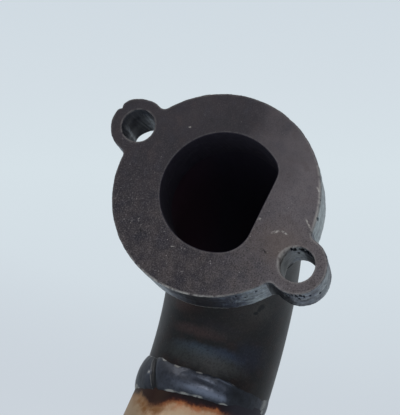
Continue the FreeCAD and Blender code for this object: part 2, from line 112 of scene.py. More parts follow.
# Fillet welds: how far they reach along the pipe and out over the plate, and their ripples
FLANGE_LEG = 4.5
CAN_LEG = 3.6
RIPPLE_PITCH = 2.1
RIPPLE_HEIGHT = 0.16

# Heat tint: how far outside a pipe its ring lies, and how far it spreads from each weld
TINT_OFF_PIPE = 1.8
HEADER_TINT = 15.0
TAIL_TINT = 14.0
SEAM_TINT = 9.0

# Points of the meshes: along each cut wall and down it, and round the beads
RIM_POINTS = 1500
PORT_POINTS = 620
HOLE_POINTS = 260
WALL_ROWS = 34
ELBOW_BEAD_POINTS = 640
RIM_BEAD_POINTS = 1100
FILLET_SPACING = 0.35


# Shader building


class Shader:
    """Node tree of a material or a world: small calls that add a node and return its output socket."""

    def __init__(self, name, world=False):
        self.owner = (bpy.data.worlds if world else bpy.data.materials).new(name)
        self.owner.use_nodes = True
        self.tree = self.owner.node_tree
        self.tree.nodes.clear()
        self.output = self.node("ShaderNodeOutputWorld" if world else "ShaderNodeOutputMaterial")
        self.coords = self.node("ShaderNodeTexCoord").outputs["Generated" if world else "Object"]

    def node(self, kind, inputs=None, **settings):
        new = self.tree.nodes.new(kind)
        for key, value in settings.items():
            setattr(new, key, value)
        for key, value in (inputs or {}).items():
            self.feed(new.inputs[key], value)
        return new

    def feed(self, socket, value):
        """Links an input or sets it; colours are given as three numbers."""
        if isinstance(value, bpy.types.NodeSocket):
            self.tree.links.new(value, socket)
        else:
            socket.default_value = (*value, 1.0) if socket.type == "RGBA" else value

    def math(self, operation, a, b=0.0, clamp=False):
        return self.node("ShaderNodeMath", {0: a, 1: b}, operation=operation, use_clamp=clamp).outputs[0]

    def plus(self, a, b):
        return self.math("ADD", a, b)

    def minus(self, a, b):
        return self.math("SUBTRACT", a, b)

    def times(self, first, *others):
        for other in others:
            first = self.math("MULTIPLY", first, other)
        return first

    def hypot(self, a, b):
        return self.math("SQRT", self.plus(self.times(a, a), self.times(b, b)))

    def vector(self, operation, a, b=(0.0, 0.0, 0.0)):
        return self.node("ShaderNodeVectorMath", {0: a, 1: b}, operation=operation).outputs

    def scaled(self, vector, factors):
        return self.vector("MULTIPLY", vector, factors)[0]

    def length(self, vector):
        return self.vector("LENGTH", vector)["Value"]

    def offset(self, point_mm):
        return self.vector("SUBTRACT", self.coords, [value * MM for value in point_mm])[0]

    def axes(self, vector=None):
        """X, Y and Z of a vector or of the object's coordinates, in millimetres."""
        vector = self.scaled(self.coords if vector is None else vector, [1.0 / MM] * 3)
        new = self.node("ShaderNodeSeparateXYZ", {"Vector": vector})
        return new.outputs[0], new.outputs[1], new.outputs[2]

    def noise(self, size_mm, detail=3.0, rough=0.55, vector=None, distortion=0.0):
        return self.node("ShaderNodeTexNoise", {
            "Vector": self.coords if vector is None else vector, "Scale": 1.0 / (size_mm * MM),
            "Detail": detail, "Roughness": rough, "Distortion": distortion}).outputs["Fac"]

    def sway(self, amount, *noise):
        """Noise about zero that spans an amount."""
        return self.times(self.minus(self.noise(*noise), 0.5), amount)

    def cells(self, size_mm, vector):
        new = self.node("ShaderNodeTexVoronoi", {"Vector": vector, "Scale": 1.0 / (size_mm * MM)})
        return new.outputs["Distance"]

    def attribute(self, name):
        return self.node("ShaderNodeAttribute", attribute_name=name).outputs["Fac"]

    def ramp(self, factor, stops):
        """Colour between stops of (place, red, green, blue), the colours in screen values."""
        new = self.node("ShaderNodeValToRGB", {"Fac": factor})
        elements = new.color_ramp.elements
        while len(elements) < len(stops):
            elements.new(1.0)
        for element, (place, *colour) in zip(elements, stops):
            element.position = place
            element.color = (*rgb(*colour), 1.0)
        return new.outputs["Color"]

    def step(self, value, low, high):
        """0 at low, 1 at high and a straight rise between; low may be the larger."""
        return self.node("ShaderNodeMapRange", {"Value": value, "From Min": low, "From Max": high}).outputs[0]

    def mix(self, factor, a, b):
        """A colour between a and b."""
        return self.node("ShaderNodeMix", {"Factor": factor, 6: a, 7: b}, data_type="RGBA").outputs[2]

    def tinge(self, colour, tone, *masks):
        """The colour, turned to a tone in screen values by the product of the masks."""
        return self.mix(self.times(*masks), colour, rgb(*tone))

    def blend(self, factor, a, b):
        """A number between a and b."""
        return self.node("ShaderNodeMix", {"Factor": factor, 2: a, 3: b}, data_type="FLOAT").outputs[0]

    def ring_distance(self, centre_mm, radius_mm):
        """Distance in millimetres from a circle that faces along X."""
        x, y, z = self.axes(self.offset(centre_mm))
        return self.hypot(self.minus(self.hypot(y, z), radius_mm), x)

    def bump(self, height, depth_mm, strength, under=None):
        inputs = {"Height": height, "Distance": depth_mm * MM, "Strength": strength}
        if under is not None:
            inputs["Normal"] = under
        return self.node("ShaderNodeBump", inputs).outputs["Normal"]

    def show(self, shader):
        self.tree.links.new(shader.outputs[0], self.output.inputs["Surface"])
        return self.owner

    def show_either(self, factor, first, second):
        """Shows the first shader where the factor is 0 and the second where it is 1."""
        inputs = {0: factor, 1: first.outputs[0], 2: second.outputs[0]}
        return self.show(self.node("ShaderNodeMixShader", inputs))

    def finish(self, colour, roughness, metallic, normal, specular=0.5, sheen=0.0):
        return self.show(self.node("ShaderNodeBsdfPrincipled", {
            "Base Color": colour, "Roughness": roughness, "Metallic": metallic, "Normal": normal,
            "Specular IOR Level": specular, "Sheen Weight": sheen}))


def rgb(red, green, blue):
    """Linear colour from 0 to 255 screen values."""
    screen = np.array([red, green, blue]) / 255.0
    return np.where(screen <= 0.04045, screen / 12.92, ((screen + 0.055) / 1.055) ** 2.4)


# Materials


def segment_mask(s, x, z, start, end, width):
    """1 on a short straight mark of the flange's face, 0 away from it; points are (x, z) in millimetres."""
    length = math.dist(start, end)
    ax, az = (end[0] - start[0]) / length, (end[1] - start[1]) / length
    dx, dz = s.minus(x, start[0]), s.minus(z, start[1])
    run = s.plus(s.times(dx, ax), s.times(dz, az))
    off = s.math("ABSOLUTE", s.minus(s.times(dz, ax), s.times(dx, az)))
    past = s.math("ABSOLUTE", s.minus(run, length / 2))
    inside = s.step(past, length / 2 + 0.4, length / 4)
    chipped = s.step(s.noise(0.7, 2.0, 0.6), 0.36, 0.56)
    return s.times(chipped, inside, s.step(off, width, 0.1 * width))


# Marks on the flange's face, bright and dark; one bright mark is a painted glint at the lower hole's edge:
# (start, end, width) in millimetres, as (x, z)
BRIGHT_MARKS_AND_GLINT = [
    ((19.3, -6.8), (21.1, -5.8), 0.45), ((22.0, -5.6), (23.4, -6.1), 0.35),
    # The second mark on the next line, at the lower hole's edge, is a painted glint
    ((27.2, -0.4), (29.3, -2.7), 0.30), ((25.9, -9.6), (26.9, -8.6), 0.35),
    ((14.7, -3.9), (15.1, -3.9), 0.45), ((13.6, -4.3), (14.0, -4.2), 0.35),
    ((-13.7, 17.0), (-13.4, 17.1), 0.30), ((27.6, 9.2), (28.6, 8.0), 0.35),
    ((-7.0, -18.5), (-6.2, -18.3), 0.25),
]
DARK_MARKS = [
    ((29.2, -3.1), (30.2, -4.0), 0.7), ((-8.2, 21.0), (-7.4, 20.4), 0.5),
    ((-17.5, -16.0), (-16.9, -16.8), 0.5), ((18.0, -12.0), (19.5, -12.8), 0.5),
    ((4.0, -25.5), (5.2, -25.2), 0.4),
]

# What the flange's mesh says of each point: cut wall, worn edge, bare (or, below 0, burnt) steel
# with some painted shade and painted highlights in it, soot, pit, rust, and blued by heat
FLANGE_MARKS = ("cut", "worn", "bare_and_painted_light", "soot", "pit", "rust", "blued")


def plate_material():
    """Hot-rolled plate: brown-grey scale on the face, plasma-cut steel on its edges, soot in the port."""
    s = Shader("flange_plate")
    cut, worn, bare_and_painted_light, soot, pit, rust, blued = (s.attribute(name) for name in FLANGE_MARKS)
    x, _, z = s.axes()
    cloud = s.noise(15.0, 4.0, 0.6)
    patch = s.noise(4.0, 3.0, 0.55)
    grain = s.noise(0.42, 3.0, 0.7)
    fine = s.noise(0.28, 2.0, 0.6)
    mottle = s.noise(1.5, 3.0, 0.65)

    # The face: patches of scale, paler to the right (partly lighter scale, partly painted sheen), with
    # speckle that is coarser lower down
    face = s.ramp(cloud, [(0.32, 37, 34, 40), (0.52, 45, 40, 46), (0.70, 54, 48, 51)])
    lean = s.plus(x, s.times(s.minus(cloud, 0.5), 24.0))
    low = s.step(z, 2.0, -24.0)
    coarse = s.blend(s.step(z, 14.0, -12.0), 0.35, 1.35)
    speckle = s.plus(s.times(grain, 0.74), s.times(mottle, 0.26))
    rare = s.step(s.plus(s.noise(2.6, 2.0), s.times(low, 0.06)), 0.54, 0.66)
    some = s.step(s.noise(3.4, 2.0), 0.50, 0.62)
    pale_speck = s.step(s.cells(1.1, s.coords), 0.16, 0.05)
    dark_speck = s.step(s.cells(1.7, s.offset((40.0, 0.0, 25.0))), 0.13, 0.05)
    # Paler to the right: partly lighter scale, partly painted sheen
    face = s.tinge(face, (99, 92, 95), s.step(lean, 2.0, 24.0), 0.9)
    face = s.tinge(face, (80, 73, 73), low, s.step(patch, 0.40, 0.62), 0.6)
    face = s.tinge(face, (68, 56, 56), s.step(patch, 0.54, 0.72), 0.35)
    face = s.tinge(face, (50, 50, 60), s.step(patch, 0.46, 0.32), 0.30)
    face = s.tinge(face, (110, 102, 104), s.step(speckle, 0.50, 0.66), coarse, 0.50)
    face = s.tinge(face, (16, 14, 18), s.step(speckle, 0.50, 0.34), coarse, 0.70)
    face = s.tinge(face, (165, 158, 157), pale_speck, rare, coarse, 0.72)
    face = s.tinge(face, (14, 13, 16), dark_speck, some, coarse, 0.74)
    face = s.tinge(face, (96, 82, 74), spot(s, (22.6, 0.0, -9.5), (6.5, 4.0, 5.0), 0.6), 0.45)
    # Bright scratches and specks, and one painted glint by the lower hole
    for mark in BRIGHT_MARKS_AND_GLINT:
        face = s.tinge(face, (186, 180, 174), segment_mask(s, x, z, *mark), 0.8)
    for mark in DARK_MARKS:
        face = s.tinge(face, (22, 20, 24), segment_mask(s, x, z, *mark))

    # The cut walls: bare steel where the level is high, burnt where it is low; the level also holds painted
    # shade low on the rim and where the lower ear meets the disc, and painted highlights in the upper hole
    blotch = s.noise(3.2, 3.0, 0.6)
    bright = s.ramp(mottle, [(0.28, 118, 126, 128), (0.5, 156, 164, 165), (0.72, 190, 198, 196)])
    dull = s.ramp(mottle, [(0.30, 30, 32, 44), (0.5, 54, 58, 72), (0.68, 98, 104, 120)])
    level = s.plus(bare_and_painted_light, s.times(s.minus(blotch, 0.5), 1.5))
    edge = s.mix(s.step(level, 0.0, 1.0), dull, bright)
    edge = s.mix(s.step(level, 0.0, -0.5), edge, s.mix(blued, rgb(16, 17, 25), rgb(20, 21, 38)))
    edge = s.tinge(edge, (60, 57, 50), rust, s.step(blotch, 0.30, 0.55))
    edge = s.tinge(edge, (26, 28, 34), s.step(s.noise(0.9, 2.0, 0.6), 0.62, 0.72))

    colour = s.mix(cut, face, edge)
    colour = s.tinge(colour, (162, 158, 154), worn, s.step(s.noise(1.6, 2.0, 0.6), 0.34, 0.54))
    colour = s.tinge(colour, (36, 31, 42), soot)
    colour = s.tinge(colour, (4, 4, 6), pit)
    normal = s.bump(s.plus(s.times(grain, 0.55), s.times(fine, 0.45)), 0.09, 0.5)
    roughness = s.blend(cut, s.blend(mottle, 0.40, 0.66), 0.42)
    roughness = s.blend(soot, roughness, 0.85)
    burnt_and_shaded = s.math("MAXIMUM", pit, s.times(cut, s.step(level, 0.1, -0.4)))
    roughness = s.blend(burnt_and_shaded, roughness, 0.52)
    metallic = s.blend(cut, 0.2, s.blend(blued, 0.5, 0.15))
    metallic = s.blend(s.math("MAXIMUM", soot, pit), metallic, 0.0)
    return s.finish(colour, roughness, metallic, normal, specular=0.32)


def spot(s, centre_mm, reach_mm, edge):
    """1 inside a soft-edged ellipsoid of the object, 0 outside it; its edge is uneven."""
    apart = s.scaled(s.offset(centre_mm), [1.0 / (reach * MM) for reach in reach_mm])
    return s.step(s.plus(s.length(apart), s.sway(1.1, 2.4, 3.0, 0.6)), 1.0 + edge, 1.0 - edge)


# Heat colours and faults on the elbow's outside, and one painted highlight on its left flank: (centre, reach,
# colour, strength), in millimetres
ELBOW_SPOTS = [
    ((-1.0, 40.5, -34.6), (8.0, 7.0, 1.4), (70, 49, 47), 0.65),
    ((6.0, 40.0, -33.2), (6.0, 6.0, 1.0), (56, 49, 47), 0.30),
    ((-7.1, 38.2, -28.5), (5.0, 5.0, 1.4), (66, 42, 38), 0.65),
    ((5.0, 41.0, -31.2), (7.0, 6.0, 1.4), (36, 28, 38), 0.45),
    ((1.5, 42.4, -40.0), (8.5, 7.0, 1.7), (60, 74, 88), 0.75),
    ((9.5, 43.5, -38.9), (5.0, 6.0, 1.4), (44, 54, 74), 0.65),
    ((5.0, 43.5, -42.4), (10.0, 7.0, 2.6), (76, 75, 74), 0.62),
    ((-6.5, 44.0, -41.6), (6.0, 6.0, 2.0), (46, 50, 50), 0.55),
    ((16.0, 46.0, -37.0), (4.0, 8.0, 4.0), (36, 39, 56), 0.55),
    ((2.0, 36.3, -29.2), (9.0, 6.0, 1.6), (17, 13, 14), 0.65),
    # Painted highlight down the elbow's left flank
    ((-16.5, 50.0, -33.0), (3.0, 9.0, 8.0), (52, 53, 56), 0.35),
    ((15.6, 38.0, -23.4), (4.5, 5.0, 3.6), (66, 60, 56), 0.60),
    ((-4.0, 37.5, -24.0), (6.0, 5.0, 1.8), (46, 28, 26), 0.60),
    ((12.0, 39.5, -28.0), (5.5, 6.0, 5.0), (46, 39, 36), 0.50),
    ((16.3, 37.4, -22.2), (1.1, 1.1, 1.2), (1, 1, 2), 1.0),
    ((15.6, 37.9, -23.2), (0.6, 0.6, 0.5), (1, 1, 2), 1.0),
    ((14.7, 38.3, -24.3), (0.9, 0.8, 0.6), (1, 1, 2), 1.0),
]


def elbow_material():
    """Black steel elbow: dark scale with heat colours above the weld, a few pits, a painted highlight on its
    left flank, and soot inside.
    """
    s = Shader("elbow_steel")
    grain = s.noise(0.55, 3.0, 0.7)
    cloud = s.noise(7.0, 3.0, 0.6)
    hue = s.noise(4.0, 3.0, 0.6)
    colour = s.ramp(hue, [(0.30, 18, 17, 19), (0.48, 20, 16, 17), (0.66, 34, 22, 20)])
    colour = s.tinge(colour, (40, 36, 35), s.step(cloud, 0.5, 0.72), 0.5)
    for centre, reach, tone, strength in ELBOW_SPOTS:
        edge = 0.6 if strength < 1.0 else 0.3
        colour = s.tinge(colour, tone, spot(s, centre, reach, edge), strength)
    colour = s.tinge(colour, (9, 9, 11), s.step(grain, 0.50, 0.30), 0.6)
    colour = s.tinge(colour, (66, 64, 66), s.step(grain, 0.54, 0.72), 0.35)
    from_middle = s.ring_distance(ELBOW_START - (0.0, 0.0, ELBOW_BEND), ELBOW_BEND)
    inside = s.step(from_middle, ELBOW_RADIUS - 0.6, ELBOW_RADIUS - 1.0)
    soot = s.mix(s.step(s.axes()[0], -8.0, -18.0), rgb(37, 31, 45), rgb(56, 32, 46))
    colour = s.mix(inside, colour, soot)
    roughness = s.blend(inside, s.blend(cloud, 0.36, 0.54), 0.9)
    normal = s.bump(grain, 0.08, 0.45)
    return s.finish(colour, roughness, s.blend(inside, 0.25, 0.0), normal, specular=0.32)


def weld_material(name, dark, light, toe, tint=None, crusty=0.5):
    """Weld bead: smooth ripples with a sheen, and a broken crust where it meets the pipe.

    The attribute tone runs from -1, dark, to 1, light: burnt and bare metal, and on the elbow bead
    also painted sheen, highlights, reflection and shade. The attribute toe marks crust, and on the
    elbow bead also a painted glint. The higher crusty is, the less crust there is.
    """
    s = Shader(name)
    edge = s.attribute("toe")
    tone = s.attribute("tone")
    grain = s.noise(0.5, 3.0, 0.6)
    colour = s.mix(s.step(s.noise(4.0, 3.0, 0.6), 0.3, 0.7), dark, 0.75 * dark + 0.25 * light)
    if tint is not None:
        colour = s.mix(s.step(s.noise(7.0, 2.0), 0.5, 0.7), colour, tint)
    uneven = s.plus(tone, s.sway(0.5, 1.6, 3.0, 0.6))
    colour = s.mix(s.step(uneven, 0.05, 1.0), colour, light)
    colour = s.mix(s.step(uneven, -0.05, -1.0), colour, 0.28 * dark)
    broken = s.step(s.noise(1.8, 4.0, 0.7), crusty, crusty + 0.10)
    # Crust at the bead's edges; on the elbow bead the toe attribute also holds a painted glint and highlight
    crust_and_glint = s.times(s.step(edge, 0.50, 0.80), broken)
    colour = s.mix(crust_and_glint, colour, toe)
    colour = s.mix(s.step(grain, 0.42, 0.26), colour, 0.4 * dark)
    roughness = s.blend(crust_and_glint, s.blend(s.step(uneven, 0.4, -0.8), 0.36, 0.52), 0.8)
    return s.finish(colour, roughness, s.blend(crust_and_glint, 0.4, 0.1), s.bump(grain, 0.06, 0.4))


def tint_over(s, colour, distance, spread):
    """Heat tint by distance from a weld: dark, blue, brown and straw bands."""
    wave = s.sway(spread * 0.5, 6.0, 3.0, 0.6)
    ratio = s.math("DIVIDE", s.plus(distance, wave), spread, clamp=True)
    tint = s.ramp(ratio, [
        (0.0, 60, 58, 66), (0.22, 84, 88, 124), (0.36, 128, 92, 112), (0.52, 176, 128, 76),
        (0.72, 206, 176, 122), (1.0, 205, 200, 190)])
    return s.mix(s.step(ratio, 0.35, 1.0), tint, colour)


def streaks(s, along, squeeze, *noise):
    """Noise that is drawn out along one axis of the object, like the marks of rolling or brushing."""
    factors = [1.0, 1.0, 1.0]
    factors[along] = squeeze
    return s.noise(*noise, vector=s.scaled(s.coords, factors))


# Squeeze and noise of a rolled or brushed sheet's streaks, and of its few long scratches
MILL_STREAKS = (0.02, 0.5, 3.0, 0.65)
SCRATCHES = (0.015, 0.30, 1.0, 0.5)


def stainless_material(name, along, tints=(), base=(178, 179, 180)):
    """Satin stainless with mill streaks, faint smudges and heat tint round its welds."""
    s = Shader(name)
    streak = streaks(s, along, *MILL_STREAKS)
    smudge = s.noise(26.0, 4.0, 0.6)
    colour = s.mix(s.step(streak, 0.35, 0.7), 0.78 * rgb(*base), rgb(*base))
    colour = s.tinge(colour, (150, 146, 140), s.step(smudge, 0.55, 0.75), 0.35)
    for centre, radius, spread in tints:
        colour = tint_over(s, colour, s.ring_distance(centre, radius), spread)
    scratch = s.step(streaks(s, along, *SCRATCHES), 0.70, 0.76)
    normal = s.bump(streak, 0.012, 0.25)
    normal = s.bump(scratch, 0.012, 0.3, normal)
    normal = s.bump(s.noise(46.0, 1.0, 0.4), 0.5, 0.2, normal)
    return s.finish(colour, s.blend(s.step(smudge, 0.35, 0.7), 0.30, 0.37), 0.85, normal)


# Colours of the header pipe by depth below the bead: burnt, orange, tan and bare
SCORCH_REACH = 50.0
SCORCH = [
    (0.00, 24, 15, 19), (0.018, 40, 21, 23), (0.032, 80, 42, 30), (0.045, 132, 80, 50),
    (0.058, 164, 116, 82), (0.074, 194, 156, 124), (0.12, 200, 172, 142), (0.34, 184, 170, 152),
    (0.60, 178, 172, 162), (1.0, 176, 175, 173),
]


def header_material():
    """Stainless header pipe, scorched brown, orange and tan below the big weld."""
    s = Shader("tinted_stainless")
    x, _, z = s.axes()
    toe = s.plus(s.times(x, BEAD_TILT / ELBOW_RADIUS), float(JOINT[2] - BEAD_LOWER))
    for start, end, lift in ((-3.0, -7.0, -1.7), (-10.5, -14.5, 2.1), (6.0, -6.0, -0.9)):
        toe = s.plus(toe, s.times(s.step(x, start, end), lift))
    uneven = s.plus(s.sway(2.4, 9.0, 2.0, 0.5), s.sway(2.8, 1.6, 4.0, 0.70))
    depth = s.math("DIVIDE", s.plus(s.minus(toe, z), uneven), SCORCH_REACH, clamp=True)
    colour = s.ramp(depth, SCORCH)

    blaze = s.times(s.step(s.noise(2.6, 3.0, 0.6), 0.44, 0.62), s.step(x, -9.0, -3.0))
    blaze = s.times(blaze, s.step(depth, 0.12, 0.05), s.step(depth, 0.032, 0.046))
    colour = s.tinge(colour, (184, 108, 66), blaze, 0.75)
    colour = s.tinge(colour, (114, 94, 70), s.step(x, -4.0, -14.0), s.step(depth, 0.9, 0.1), 0.7)
    burn = s.blend(s.step(x, -10.0, -14.5), 1.0, s.step(depth, 0.045, 0.02))
    colour = s.tinge(colour, (36, 16, 13), burn, s.step(x, 0.0, -10.0), s.step(depth, 0.105, 0.02), 0.92)
    ember = s.times(s.step(x, -18.5, -14.0), s.step(x, 0.0, -7.0))
    ember = s.times(ember, s.step(depth, 0.050, 0.075), s.step(depth, 0.16, 0.09))
    colour = s.tinge(colour, (116, 74, 34), ember, s.step(s.noise(3.0, 4.0, 0.65), 0.36, 0.58), 0.85)
    # Darker on the right side: partly soot, partly painted shade
    colour = s.tinge(colour, (46, 43, 50), s.step(x, 11.0, 16.0), s.step(depth, 0.45, 0.05), 0.9)

    streak = streaks(s, 2, *MILL_STREAKS)
    clear = s.step(depth, 0.25, 0.7)
    colour = s.tinge(colour, (220, 208, 192), clear, s.step(streak, 0.4, 0.7), 0.15)
    colour = tint_over(s, colour, s.ring_distance(HEADER_AT_CAN, ELBOW_RADIUS + 1.5), 16.0)
    normal = s.bump(s.times(streak, clear), 0.015, 0.3)
    normal = s.bump(s.noise(0.5, 3.0, 0.6), 0.04, 0.3, normal)
    clean = s.step(depth, 0.05, 0.5)
    return s.finish(colour, s.blend(clean, 0.55, 0.34), s.blend(clean, 0.05, 0.8), normal, specular=0.16)


def inner_material():
    """Plain tube and sheet of the core, browned by the gas."""
    s = Shader("core_steel")
    soot = s.noise(8.0, 4.0, 0.6)
    colour = s.ramp(soot, [(0.3, 70, 62, 54), (0.6, 126, 116, 104), (0.8, 150, 144, 136)])
    return s.finish(colour, s.blend(soot, 0.7, 0.45), 0.5, s.bump(s.noise(0.6, 3.0, 0.6), 0.05, 0.5))


def wool_material():
    """Pale mineral wool with matted strands."""
    s = Shader("wool")
    strand = s.noise(0.6, 4.0, 0.7, vector=s.scaled(s.coords, (0.15, 1.0, 1.0)), distortion=1.2)
    colour = s.ramp(strand, [(0.3, 150, 138, 96), (0.7, 222, 214, 176)])
    colour = s.tinge(colour, (190, 178, 132), s.step(s.noise(7.0, 3.0, 0.6), 0.5, 0.75))
    return s.finish(colour, 0.95, 0.0, s.bump(strand, 0.4, 0.9), sheen=0.3)


# Mesh building


def placed(name, data):
    """A new object in the scene."""
    thing = bpy.data.objects.new(name, data)
    bpy.context.scene.collection.objects.link(thing)
    return thing


def make_piece(name, node, verts_mm, faces, material, attributes, smooth_angle):
    """Piece from millimetre points that replaces a CAD node, shaded smooth below an edge angle."""
    mesh = bpy.data.meshes.new(name)
    mesh.from_pydata([tuple(v) for v in np.asarray(verts_mm) * MM], [], faces)
    mesh.validate()
    for key, values in attributes.items():
        layer = mesh.attributes.new(key, "FLOAT", "POINT")
        layer.data.foreach_set("value", np.asarray(values, np.float32))
    mesh.materials.append(material)
    bm = bmesh.new()
    bm.from_mesh(mesh)
    bmesh.ops.recalc_face_normals(bm, faces=bm.faces)
    for face in bm.faces:
        face.smooth = True
    limit = math.radians(smooth_angle)
    for edge in bm.edges:
        edge.smooth = len(edge.link_faces) == 2 and edge.calc_face_angle(0.0) < limit
    bm.to_mesh(mesh)
    bm.free()
    piece = placed(name, mesh)
    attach(piece, "root")
    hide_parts(node)


def polar(angle, radius):
    """Point of the flange's face at an angle in degrees from +X towards +Z."""
    turn = math.radians(angle)
    return radius * np.array([math.cos(turn), math.sin(turn)])


def bearing(point):
    """Angle in degrees of a point of the flange's face, from +X towards +Z."""
    return math.degrees(math.atan2(point[1], point[0]))


def sampled_arc(centre, start, end, side, step=0.08):
    """Points along an arc from start to end about a centre; side is 1 anticlockwise, -1 clockwise."""
    first = math.atan2(*(start - centre)[::-1])
    last = math.atan2(*(end - centre)[::-1])
    sweep = (last - first) * side % (2 * math.pi) * side
    radius = np.linalg.norm(start - centre)
    count = max(4, int(abs(sweep) * radius / step))
    turns = first + sweep * np.arange(count) / count
    return np.stack([centre[0] + radius * np.cos(turns), centre[1] + radius * np.sin(turns)], 1)


def flange_outline():
    """Disc, two ears and four hollow corners, anticlockwise."""
    reach = STUD_PITCH / 2
    hub = FLANGE_RADIUS + EAR_BLEND
    knob = EAR_RADIUS + EAR_BLEND
    spread = math.degrees(math.acos((hub**2 + reach**2 - knob**2) / (2 * hub * reach)))
    centre = np.zeros(2)
    runs = []
    ears = (-EAR_TILT, 180 - EAR_TILT)
    for angle, following in zip(ears, (ears[1], ears[0] + 360)):
        ear = polar(angle, reach)
        enter_bend = polar(angle - spread, hub)
        leave_bend = polar(angle + spread, hub)
        disc_in = polar(angle - spread, FLANGE_RADIUS)
        disc_out = polar(angle + spread, FLANGE_RADIUS)
        ear_in = ear + (enter_bend - ear) * EAR_RADIUS / knob
        ear_out = ear + (leave_bend - ear) * EAR_RADIUS / knob
        runs.append(sampled_arc(enter_bend, disc_in, ear_in, -1))
        runs.append(sampled_arc(ear, ear_in, ear_out, 1))
        runs.append(sampled_arc(leave_bend, ear_out, disc_out, -1))
        runs.append(sampled_arc(centre, disc_out, polar(following - spread, FLANGE_RADIUS), 1))
    return np.concatenate(runs)


def port_outline():
    """Round port with a flat side and a rounded corner at each end of it, anticlockwise."""
    centre = np.array(PORT_CENTRE)
    normal = polar(-PORT_FLAT_TILT, 1.0)
    side = polar(90 - PORT_FLAT_TILT, 1.0)
    ends = []
    for corner, sign in ((PORT_CORNER_UPPER, 1), (PORT_CORNER_LOWER, -1)):
        inset = PORT_FLAT - corner
        bend = centre + normal * inset + side * sign * math.sqrt((PORT_RADIUS - corner) ** 2 - inset**2)
        away = (bend - centre) / np.linalg.norm(bend - centre)
        ends.append((bend + normal * corner, bend, centre + away * PORT_RADIUS))
    (flat_top, bend_top, round_top), (flat_low, bend_low, round_low) = ends
    steps = np.linspace(0, 1, 160, endpoint=False)[:, None]
    return np.concatenate([
        flat_low + (flat_top - flat_low) * steps,
        sampled_arc(bend_top, flat_top, round_top, 1),
        sampled_arc(centre, round_top, round_low, 1),
        sampled_arc(bend_low, round_low, flat_low, 1),
    ])


def evenly(points, count):
    """The closed line through the points, resampled, with its outward normals and length."""
    closed = np.vstack([points, points[:1]])
    steps = np.linalg.norm(np.diff(closed, axis=0), axis=1)
    run = np.concatenate([[0], np.cumsum(steps)])
    marks = np.linspace(0, run[-1], count, endpoint=False)
    even = np.stack([np.interp(marks, run, closed[:, k]) for k in (0, 1)], 1)
    ahead = np.roll(even, -1, 0) - np.roll(even, 1, 0)
    ahead /= np.linalg.norm(ahead, axis=1)[:, None]
    return even, np.stack([ahead[:, 1], -ahead[:, 0]], 1), run[-1]


def edge_rows():
    """Rows over one edge of the plate, from its face to its back.

    Each is (kind, value, cut): where it lies, how far along that part (millimetres on a face, a
    share elsewhere), and its share of cut wall.
    """
    result = [("flat", 1.2, 0), ("flat", 0.5, 0)]
    result += [("front", k / 5, k / 5) for k in range(6)]
    result += [("wall", k / WALL_ROWS, 1.0) for k in range(1, WALL_ROWS)]
    result += [("back", k / 4, 1 - k / 4) for k in range(5)]
    return result + [("end", 0.5, 0), ("end", 1.2, 0)]


def row_place(row, front, back):
    """How far inside the outline and how deep behind the face a row lies, and its share of cut wall."""
    kind, value, cut = row
    if kind == "flat":
        return front + value, 0.0, 0.0
    if kind == "end":
        return back + value, THICKNESS, 0.0
    if kind == "wall":
        return 0.0, front + (THICKNESS - front - back) * value, 1.0
    turn = math.pi / 2 * value
    if kind == "front":
        return front * (1 - math.sin(turn)), front * (1 - math.cos(turn)), cut
    return back * (1 - math.cos(turn)), THICKNESS - back * (1 - math.sin(turn)), cut


def rough(x, y, z):
    return noise.noise(Vector((x, y, z)))


def hump(value, middle, spread):
    """Smooth 0 to 1 hump round a middle value."""
    return math.exp(-(((value - middle) / spread) ** 2))


def bump_at(angle, middle, spread):
    """The same hump on a circle, in degrees."""
    return hump((angle - middle + 180.0) % 360.0, 180.0, spread)


def rise(value):
    """Smooth step from 0 to 1 where a value passes 0."""
    return 1.0 / (1.0 + math.exp(-value))


def cut_height(run, depth, seed):
    """Height of a plasma-cut wall, 0 or below: drag lines, long steps along the edge, and lumps."""
    lag = 2.2 * (depth / THICKNESS) ** 2
    fine = rough((run + lag) / 0.6, depth / 12.0, seed)
    broad = rough((run + lag) / 2.1, depth / 8.0, seed + 7.0)
    steps = rough(run / 22.0, depth / 1.5, seed + 13.0)
    lump = rough(run / 4.0, depth / 3.5, seed + 17.0)
    return min(0.0, 0.09 * fine + 0.12 * broad + 0.03 * steps + 0.14 * lump - 0.18)


# Middles of the ears, and how far from one a point of the rim still belongs to it
LOWER_EAR = polar(-EAR_TILT, STUD_PITCH / 2)
UPPER_EAR = -LOWER_EAR
EAR_REACH = EAR_RADIUS + 1.5


def ear_damage(point):
    """Outline faults of the upper-left ear: a proud stretch and a small notch beside it."""
    if np.linalg.norm(point) < FLANGE_RADIUS + 1.0:
        return 0.0
    angle = bearing(point - UPPER_EAR)
    return 0.36 * bump_at(angle, 127.0, 17.0) - 0.60 * bump_at(angle, 149.0, 5.0)


# Pits of the lower hole, the lower ear and the disc's rim: the wall's centre and radius, and for
# each pit (angle about that centre, depth behind the face, half width, half depth)
HOLE_PITS = (LOWER_EAR, STUD_HOLE_RADIUS, [
    (126, 0.9, 0.35, 0.9), (117, 2.0, 0.50, 1.5), (109, 6.6, 0.35, 0.9), (101, 2.2, 0.25, 0.8),
    (93, 3.0, 0.55, 1.7), (84, 4.6, 0.25, 0.9), (75, 3.8, 0.65, 2.3), (62, 3.6, 0.45, 2.0),
    (54, 5.5, 0.55, 3.2), (47, 9.0, 0.50, 4.0),
])
EAR_PITS = (LOWER_EAR, EAR_RADIUS, [
    (-90, 2.6, 0.40, 1.0), (-83, 1.5, 0.35, 1.0), (-76, 2.6, 0.45, 1.9), (-68, 2.6, 0.50, 1.8),
    (-72, 6.0, 0.3, 1.2), (-62, 3.6, 0.3, 1.2), (-98, 6.0, 0.7, 2.4), (-50, 5.0, 0.35, 0.8),
    (-104, 3.0, 0.5, 1.5), (-30, 9.0, 0.4, 1.0),
])
